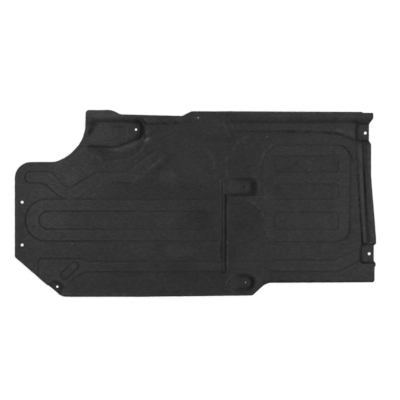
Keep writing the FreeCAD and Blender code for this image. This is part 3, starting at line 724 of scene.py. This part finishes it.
def edge_strip(rings, cuts, verts, tone, second_face, edge_radius):
    """Adds rows of points round each cut to the lists, and gives the faces between the rows."""
    polygons = []
    start = 0
    base = sum(len(v) for v in verts)
    for ring, cut in zip(rings, cuts):
        size = len(ring)
        upper = verts[0][start:start + size, 2]
        lower = verts[1][start:start + size, 2]
        layers = [np.arange(start, start + size)]
        for share, depth in EDGE_ROWS:
            row = inset(cut, share * edge_radius)
            verts.append(np.column_stack([row, upper + (lower - upper) * depth]))
            layers.append(np.arange(base, base + size))
            base += size
            tone.append(tone[0][start:start + size])
        layers.append(np.arange(start, start + size) + second_face)
        for above, below in zip(layers, layers[1:]):
            after = np.roll(above, -1)
            under = np.roll(below, -1)
            polygons += list(zip(above, below, under, after))
        start += size
    return polygons


def sheet_mesh(sizes):
    """Mesh of the soft sheet, with its tone, which holds painted shade and highlights, and its share of cut
    edge as attributes.
    """
    tree = node_tree_of(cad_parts[NODE])
    grid = Grid()
    top, inside = cast_heights(tree, grid.xs, grid.ys, 1)
    bottom = cast_heights(tree, grid.xs, grid.ys, -1)[0]
    cuts = sorted(cut_rings(grid, inside, tree), key=ring_length, reverse=True)
    steps = [sizes.edge_step] + [sizes.hole_step] * (len(cuts) - 1)
    cuts = [spaced(ring, step) for ring, step in zip(cuts, steps)]
    cuts[0] = inset(cuts[0], wander(cuts[0], sizes.edge_wander))
    cuts[1:] = [inset(ring, -sizes.hole_closing) for ring in cuts[1:]]
    rings = [inset(ring, sizes.edge_radius) for ring in cuts]

    soft = [soften(heights, inside, sizes.crease_radius) for heights in (top, bottom)]
    tones = (road_tone_and_painted_light(grid, top, inside), inner_tone_and_painted_shade(bottom, inside))
    marked = np.abs(blurred(tones[0], FINE_BLUR) - blurred(tones[0], MARK_BLUR))
    close, middling = [
        np.abs(soft[0] - soften(top, inside, blur * MILLIMETRE)) / (height * MILLIMETRE) + marked / contrast
        for blur, height, contrast in (CLOSE, MIDDLING)
    ]
    verts = []
    polygons = []
    tone = []
    firsts = []
    for side, step in enumerate((sizes.fine_step, sizes.under_step)):
        points = lattice_points(grid, inside, close, middling, step)
        stops, faces = triangulated(rings, clear_of(points, rings, CLEARANCE * step))
        z = grid.read(soft[side], stops) + uneven(stops, sizes.unevenness, side * INNER_LAYER)
        firsts.append(sum(len(v) for v in verts))
        verts.append(np.column_stack([stops, np.maximum(z, CAD_BOX[0].z)]))
        tone.append(grid.read(tones[side], stops))
        order = 1 if side == 0 else -1
        polygons += [tuple(f[::order] + firsts[side]) for f in faces]
    around = sum(len(v) for v in verts)
    polygons += edge_strip(rings, cuts, verts, tone, firsts[1], sizes.edge_radius)

    verts = np.vstack(verts)
    mesh = bpy.data.meshes.new("pressed_sheet")
    mesh.from_pydata(verts.tolist(), [], [tuple(int(k) for k in p) for p in polygons])
    cut_share = np.zeros(len(verts))
    for first in firsts:
        cut_share[first:first + sum(len(ring) for ring in rings)] = RIM_CUT
    cut_share[around:] = 1.0
    for name, values in (("tone", np.concatenate(tone)), ("cut", cut_share)):
        attribute = mesh.attributes.new(name, "FLOAT", "POINT")
        attribute.data.foreach_set("value", values.astype(np.float32))
    mesh.shade_smooth()
    return mesh


# Nodes

def put(tree, kind, inputs=None, **settings):
    """A node whose inputs are values or sockets to link from."""
    node = tree.nodes.new(kind)
    for name, value in settings.items():
        setattr(node, name, value)
    for key, value in (inputs or {}).items():
        if isinstance(value, NodeSocket):
            tree.links.new(value, node.inputs[key])
        else:
            node.inputs[key].default_value = value
    return node


def result(tree, kind, inputs=None, **settings):
    """First output of a node."""
    return put(tree, kind, inputs, **settings).outputs[0]


def maths(tree, operation, a, b=0.0, c=0.0, clamp=False):
    """Result of a Math node."""
    return result(tree, "ShaderNodeMath", {0: a, 1: b, 2: c}, operation=operation, use_clamp=clamp)


def blank_tree(owner):
    """Node tree of a material or a world, emptied."""
    owner.use_nodes = True
    owner.node_tree.nodes.clear()
    return owner.node_tree


def new_group(name, values, outputs):
    """An empty shader node group that takes a place and values and puts out values, and its end nodes."""
    tree = bpy.data.node_groups.new(name, "ShaderNodeTree")
    tree.interface.new_socket("Vector", in_out="INPUT", socket_type="NodeSocketVector")
    for label, value in values.items():
        socket = tree.interface.new_socket(label, in_out="INPUT", socket_type="NodeSocketFloat")
        socket.default_value = value
    for label in outputs:
        tree.interface.new_socket(label, in_out="OUTPUT", socket_type="NodeSocketFloat")
    return tree, tree.nodes.new("NodeGroupInput").outputs, tree.nodes.new("NodeGroupOutput")


def place_group(tree, group, inputs):
    """A group placed in a tree with its own values."""
    return put(tree, "ShaderNodeGroup", inputs, node_tree=group).outputs


# Loose fibres

def bent_fibre(tree, length, radius):
    """One thin fibre that rises along Z and bends towards X."""
    tip = result(tree, "ShaderNodeCombineXYZ", {"X": maths(tree, "MULTIPLY", length, FIBRE_TIP), "Z": length})
    bend = result(tree, "ShaderNodeCombineXYZ", {"Z": maths(tree, "MULTIPLY", length, FIBRE_BEND)})
    course = {"Resolution": SEGMENTS, "Start": (0, 0, 0), "Middle": bend, "End": tip}
    line = result(tree, "GeometryNodeCurveQuadraticBezier", course)
    ring = result(tree, "GeometryNodeCurvePrimitiveCircle", {"Resolution": SIDES, "Radius": radius})
    return result(tree, "GeometryNodeCurveToMesh", {"Curve": line, "Profile Curve": ring, "Fill Caps": True})


def fibre_tree():
    """Geometry Nodes tree that sets short bent fibres on a mesh, by its share of cut edge."""
    tree = bpy.data.node_groups.new("loose_fibres", "GeometryNodeTree")
    kinds = {"Geometry": "Geometry", "Density": "Float", "Length": "Float", "Radius": "Float"}
    kinds |= {"Seed": "Int", "Material": "Material"}
    for label, kind in kinds.items():
        tree.interface.new_socket(label, in_out="INPUT", socket_type="NodeSocket" + kind)
    tree.interface.new_socket("Geometry", in_out="OUTPUT", socket_type="NodeSocketGeometry")
    given = tree.nodes.new("NodeGroupInput").outputs

    cut = put(tree, "GeometryNodeInputNamedAttribute", {"Name": "cut"}).outputs["Attribute"]
    density = maths(tree, "MULTIPLY", maths(tree, "POWER", cut, CUT_POWER), given["Density"])
    spread = {"Mesh": given["Geometry"], "Density": density, "Seed": given["Seed"]}
    roots = put(tree, "GeometryNodeDistributePointsOnFaces", spread).outputs
    most = (MOST_LEAN, MOST_LEAN, 2 * math.pi)
    leans = {"Min": (-MOST_LEAN, -MOST_LEAN, 0.0), "Max": most, "Seed": given["Seed"]}
    lean = result(tree, "FunctionNodeRandomValue", leans, data_type="FLOAT_VECTOR")
    lean = result(tree, "FunctionNodeEulerToRotation", {0: lean})
    turn = {"Rotation": roots["Rotation"], "Rotate By": lean}
    turned = result(tree, "FunctionNodeRotateRotation", turn, rotation_space="LOCAL")
    sizes = {2: SHORTEST, 3: 1.0, "Seed": maths(tree, "ADD", given["Seed"], 1.0)}
    size = put(tree, "FunctionNodeRandomValue", sizes, data_type="FLOAT").outputs[1]
    fibre = bent_fibre(tree, given["Length"], given["Radius"])
    placed = {"Points": roots["Points"], "Instance": fibre, "Rotation": turned, "Scale": size}
    fibres = result(tree, "GeometryNodeInstanceOnPoints", placed)
    solid = result(tree, "GeometryNodeRealizeInstances", {"Geometry": fibres})
    painted = result(tree, "GeometryNodeSetMaterial", {"Geometry": solid, "Material": given["Material"]})
    put(tree, "NodeGroupOutput", {"Geometry": painted})
    return tree


def grown(tree, ground, name, values):
    """Plain mesh object that a fibre tree with these values makes on a ground mesh."""
    carrier = bpy.data.objects.new(name, ground)
    bpy.context.scene.collection.objects.link(carrier)
    modifier = carrier.modifiers.new("fibres", "NODES")
    modifier.node_group = tree
    for item in tree.interface.items_tree:
        if item.name in values and item.in_out == "INPUT":
            modifier[item.identifier] = values[item.name]
    seen = carrier.evaluated_get(bpy.context.evaluated_depsgraph_get())
    mesh = bpy.data.meshes.new_from_object(seen)
    for vertex in mesh.vertices:
        vertex.co.z = max(vertex.co.z, CAD_BOX[0].z)
    carrier.modifiers.remove(modifier)
    carrier.data = mesh
    return carrier


def lint_seats():
    """Small triangle on the panel at each place where lint clings."""
    tree = node_tree_of(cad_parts[NODE])
    corners = []
    shares = []
    for (x, y), fullness in LINT:
        shares += [fullness ** (1 / CUT_POWER)] * 3
        for turn in (0, 2 * math.pi / 3, 4 * math.pi / 3):
            across = x * MILLIMETRE + LINT_SPREAD * math.cos(turn)
            along = y * MILLIMETRE + LINT_SPREAD * math.sin(turn)
            corners.append(tree.ray_cast(Vector((across, along, ABOVE)), DOWN)[0])
    mesh = bpy.data.meshes.new("lint_seats")
    mesh.from_pydata(corners, [], [(k, k + 1, k + 2) for k in range(0, len(corners), 3)])
    mesh.attributes.new("cut", "FLOAT", "POINT").data.foreach_set("value", shares)
    return mesh


# Materials

def fibre_group():
    """Matted fibres: tone from 0 to 1 round one half, and height."""
    values = {"Fibre Width": FIBRE_WIDTH, "Tuft Size": TUFT_SIZE}
    tree, given, end = new_group("matted_fibres", values, ["Tone", "Height"])
    place = given["Vector"]
    fine = maths(tree, "DIVIDE", 1.0, given["Fibre Width"])
    coarse = maths(tree, "DIVIDE", 1.0, given["Tuft Size"])

    # places pushed aside by a slow noise, so that the strands bend
    slow = {"Vector": place, "Scale": maths(tree, "MULTIPLY", coarse, 2.2), "Detail": 2.0}
    push = put(tree, "ShaderNodeTexNoise", slow).outputs["Color"]
    push = result(tree, "ShaderNodeVectorMath", {0: push, 1: (0.5, 0.5, 0.5)}, operation="SUBTRACT")
    push = result(tree, "ShaderNodeVectorMath", {0: push, "Scale": STRAND_PUSH}, operation="SCALE")
    bent = result(tree, "ShaderNodeVectorMath", {0: place, 1: push}, operation="ADD")

    # three lays of long strands, each a ridge along the middle level of a stretched noise
    strands = None
    for turn in STRAND_TURNS:
        lay = {"Vector": bent, "Rotation": (0.3 * turn, 0.2, turn), "Scale": STRAND_STRETCH}
        stretched = result(tree, "ShaderNodeMapping", lay)
        strand = {"Vector": stretched, "Scale": fine, "Detail": 1.5, "Roughness": 0.6}
        level = maths(tree, "MULTIPLY_ADD", result(tree, "ShaderNodeTexNoise", strand), 4.0, -2.0)
        ridge = maths(tree, "SUBTRACT", 1.0, maths(tree, "ABSOLUTE", level), clamp=True)
        strands = ridge if strands is None else maths(tree, "MAXIMUM", strands, ridge)

    tufts = {"Vector": place, "Scale": coarse, "Detail": 3.0, "Roughness": 0.62}
    clumps = maths(tree, "MULTIPLY_ADD", result(tree, "ShaderNodeTexNoise", tufts), 1.6, -0.3, clamp=True)
    for label, strand_share in (("Tone", 0.45), ("Height", 0.4)):
        fine_part = maths(tree, "MULTIPLY", strands, strand_share)
        coarse_part = maths(tree, "MULTIPLY", clumps, 1 - strand_share)
        tree.links.new(maths(tree, "ADD", fine_part, coarse_part), end.inputs[label])
    return tree


def mottle_group():
    """Uneven nap: a tone about 1 whose clouds are stretched along X."""
    tree, given, end = new_group("uneven_nap", {"Size": NAP_SIZE, "Contrast": NAP_CONTRAST}, ["Tone"])
    stretched = result(tree, "ShaderNodeMapping", {"Vector": given["Vector"], "Scale": NAP_STRETCH})
    scale = maths(tree, "DIVIDE", 1.0, given["Size"])
    clouds = {"Vector": stretched, "Scale": scale, "Detail": 3.0, "Roughness": 0.65}
    level = maths(tree, "SUBTRACT", result(tree, "ShaderNodeTexNoise", clouds), 0.5)
    tree.links.new(maths(tree, "MULTIPLY_ADD", level, given["Contrast"], 1.0), end.inputs["Tone"])
    return tree


def felt_material(colours, fibres, nap):
    """Pressed felt, whose tone paints highlights on rims and shade on walls and in creases, with rubbed
    places.
    """
    material = bpy.data.materials.new("pressed_felt")
    tree = blank_tree(material)
    place = put(tree, "ShaderNodeTexCoord").outputs["Object"]
    felt = place_group(tree, fibres, {"Vector": place, "Fibre Width": FIBRE_WIDTH, "Tuft Size": TUFT_SIZE})
    patchy = place_group(tree, nap, {"Vector": place, "Size": NAP_SIZE, "Contrast": NAP_CONTRAST})
    tone = put(tree, "ShaderNodeAttribute", attribute_name="tone").outputs["Fac"]
    cut = put(tree, "ShaderNodeAttribute", attribute_name="cut").outputs["Fac"]

    shade = maths(tree, "MULTIPLY", tone, maths(tree, "MULTIPLY_ADD", felt["Tone"], 0.7, 0.65))
    shade = maths(tree, "MULTIPLY", shade, patchy["Tone"])
    shade = maths(tree, "MULTIPLY", shade, maths(tree, "MULTIPLY_ADD", cut, CUT_LIGHT, 1.0))
    tint = result(tree, "ShaderNodeVectorMath", {0: tuple(colours.felt), "Scale": shade}, operation="SCALE")
    height = maths(tree, "ADD", felt["Height"], maths(tree, "MULTIPLY", patchy["Tone"], NAP_HEIGHT))
    bump = result(tree, "ShaderNodeBump", {"Strength": 0.8, "Distance": BUMP_DISTANCE, "Height": height})
    felt_shader = {"Base Color": tint, "Roughness": 0.95, "Specular IOR Level": 0.06, "Normal": bump}
    felt_shader |= {"Sheen Weight": 0.02, "Sheen Roughness": 0.5}
    shader = result(tree, "ShaderNodeBsdfPrincipled", felt_shader)
    put(tree, "ShaderNodeOutputMaterial", {"Surface": shader})
    return material


def strand_material(name, colour):
    """Loose strands of one colour, a little uneven along them."""
    material = bpy.data.materials.new(name)
    tree = blank_tree(material)
    place = put(tree, "ShaderNodeTexCoord").outputs["Object"]
    fibres = bpy.data.node_groups["matted_fibres"]
    strand = place_group(tree, fibres, {"Vector": place, "Fibre Width": 0.0004, "Tuft Size": 0.003})
    shade = maths(tree, "MULTIPLY_ADD", strand["Tone"], 0.6, 0.7)
    tint = result(tree, "ShaderNodeVectorMath", {0: tuple(colour), "Scale": shade}, operation="SCALE")
    strand_shader = {"Base Color": tint, "Roughness": 0.9, "Specular IOR Level": 0.1}
    shader = result(tree, "ShaderNodeBsdfPrincipled", strand_shader)
    put(tree, "ShaderNodeOutputMaterial", {"Surface": shader})
    return material


# Operators

class SHIELD_OT_panel(Operator):
    """Makes the soft felt sheet that stands for the bare CAD sheet"""

    bl_idname = "shield.panel"
    bl_label = "Felt panel"

    def execute(self, context):
        scene = context.scene
        mesh = sheet_mesh(scene.shield_sheet)
        panel = bpy.data.objects.new("felt_panel", mesh)
        scene.collection.objects.link(panel)
        mesh.materials.append(felt_material(scene.shield_colours, fibre_group(), mottle_group()))
        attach(panel, BODY)
        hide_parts(NODE)
        return {"FINISHED"}


class SHIELD_OT_fuzz(Operator):
    """Sets loose fibres along the cut edge and the holes of the felt panel"""

    bl_idname = "shield.fuzz"
    bl_label = "Loose fibres"

    def execute(self, context):
        scene = context.scene
        sizes = scene.shield_fuzz
        material = strand_material("loose_fibre", scene.shield_colours.fibre)
        values = {"Density": sizes.density, "Length": sizes.length, "Radius": sizes.radius}
        values |= {"Seed": 3, "Material": material}
        fuzz = grown(fibre_tree(), bpy.data.objects["felt_panel"].data.copy(), "edge_fuzz", values)
        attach(fuzz, BODY)
        return {"FINISHED"}


class SHIELD_OT_lint(Operator):
    """Drops a few tufts of pale lint on the road face"""

    bl_idname = "shield.lint"
    bl_label = "Lint"

    def execute(self, context):
        scene = context.scene
        sizes = scene.shield_fuzz
        material = strand_material("lint", scene.shield_colours.lint)
        seat_area = 1.5 * SIN_60 * LINT_SPREAD ** 2
        density = LINT_STRANDS / seat_area
        values = {"Density": density, "Length": sizes.lint_length, "Radius": sizes.lint_radius}
        values |= {"Seed": 8, "Material": material}
        lint = grown(bpy.data.node_groups["loose_fibres"], lint_seats(), "lint", values)
        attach(lint, BODY)
        return {"FINISHED"}


class SHIELD_OT_stage(Operator):
    """Sets up the white floor, the soft lamp and the camera overhead"""

    bl_idname = "shield.stage"
    bl_label = "Stage"

    def execute(self, context):
        scene = context.scene
        sizes = scene.shield_stage
        scene.view_settings.view_transform = "Standard"
        make_floor(scene)
        make_sky(scene, sizes.sky_strength)
        make_lamp(scene, sizes)
        make_camera(scene, sizes)
        return {"FINISHED"}


# Stage

def grey(level):
    """Opaque grey of a level."""
    return (level, level, level, 1)


def seen_directly(tree):
    """One where a ray comes from the camera, a reflection or glass."""
    path = put(tree, "ShaderNodeLightPath").outputs
    seen = maths(tree, "MAXIMUM", path["Is Camera Ray"], path["Is Glossy Ray"])
    return maths(tree, "MAXIMUM", seen, path["Is Transmission Ray"])


def make_floor(scene):
    """White floor that a camera sees as white and that keeps a faint shadow."""
    depth = CAD_BOX[0].z - FLOOR_GAP
    corners = [(x * FLOOR_HALF, y * FLOOR_HALF, depth) for x, y in ((-1, -1), (1, -1), (1, 1), (-1, 1))]
    mesh = bpy.data.meshes.new("floor")
    mesh.from_pydata(corners, [], [(0, 1, 2, 3)])
    floor = bpy.data.objects.new("floor", mesh)
    scene.collection.objects.link(floor)
    material = bpy.data.materials.new("white_floor")
    tree = blank_tree(material)
    lit = result(tree, "ShaderNodeBsdfDiffuse", {"Color": grey(FLOOR_LIT)})
    glow = result(tree, "ShaderNodeEmission", {"Color": grey(1), "Strength": FLOOR_GLOW})
    both = result(tree, "ShaderNodeAddShader", {0: lit, 1: glow})
    plain = result(tree, "ShaderNodeBsdfDiffuse", {"Color": grey(FLOOR_PLAIN)})
    mixed = result(tree, "ShaderNodeMixShader", {0: seen_directly(tree), 1: plain, 2: both})
    put(tree, "ShaderNodeOutputMaterial", {"Surface": mixed})
    mesh.materials.append(material)


def make_sky(scene, strength):
    """Even light from all round, white where it is seen."""
    world = bpy.data.worlds.new("studio")
    tree = blank_tree(world)
    white = result(tree, "ShaderNodeBackground", {"Color": grey(1), "Strength": 1.0})
    even = result(tree, "ShaderNodeBackground", {"Color": grey(1), "Strength": strength})
    mixed = result(tree, "ShaderNodeMixShader", {0: seen_directly(tree), 1: even, 2: white})
    put(tree, "ShaderNodeOutputWorld", {"Surface": mixed})
    scene.world = world


def make_lamp(scene, sizes):
    """One large soft lamp overhead."""
    light = bpy.data.lights.new("overhead", "AREA")
    light.shape = "RECTANGLE"
    light.size, light.size_y = LAMP_SIZE
    light.energy = sizes.lamp_power
    lamp = bpy.data.objects.new("overhead", light)
    lamp.location = LAMP_PLACE
    scene.collection.objects.link(lamp)


def make_camera(scene, sizes):
    """Camera with a long lens, straight above the panel."""
    camera = bpy.data.cameras.new("overhead_camera")
    camera.sensor_width = SENSOR_WIDTH
    camera.lens = camera.sensor_width * sizes.camera_height / sizes.view_width
    camera.clip_end = FARTHEST_SEEN
    holder = bpy.data.objects.new("overhead_camera", camera)
    holder.location = (*sizes.view_centre, sizes.camera_height)
    scene.collection.objects.link(holder)
    scene.camera = holder


# Add-on

class SHIELD_PT_sidebar(Panel):
    """Lists the shield's steps in the 3D view's sidebar"""

    bl_label = "Felt splash shield"
    bl_space_type = "VIEW_3D"
    bl_region_type = "UI"
    bl_category = "Shield"

    def draw(self, context):
        for operator in OPERATORS:
            self.layout.operator(operator.bl_idname)


OPERATORS = (SHIELD_OT_panel, SHIELD_OT_fuzz, SHIELD_OT_lint, SHIELD_OT_stage)
SETTINGS = {
    "shield_sheet": SheetSizes,
    "shield_colours": FeltColours,
    "shield_fuzz": FuzzSizes,
    "shield_stage": StageSizes,
}
CLASSES = (*SETTINGS.values(), *OPERATORS, SHIELD_PT_sidebar)


def register():
    for item in CLASSES:
        bpy.utils.register_class(item)
    for name, group in SETTINGS.items():
        setattr(bpy.types.Scene, name, bpy.props.PointerProperty(type=group))


def unregister():
    for name in SETTINGS:
        delattr(bpy.types.Scene, name)
    for item in reversed(CLASSES):
        bpy.utils.unregister_class(item)


def main():
    """Builds every piece and the stage."""
    register()
    bpy.ops.shield.panel()
    bpy.ops.shield.fuzz()
    bpy.ops.shield.lint()
    bpy.ops.shield.stage()


if __name__ == "__main__":
    main()
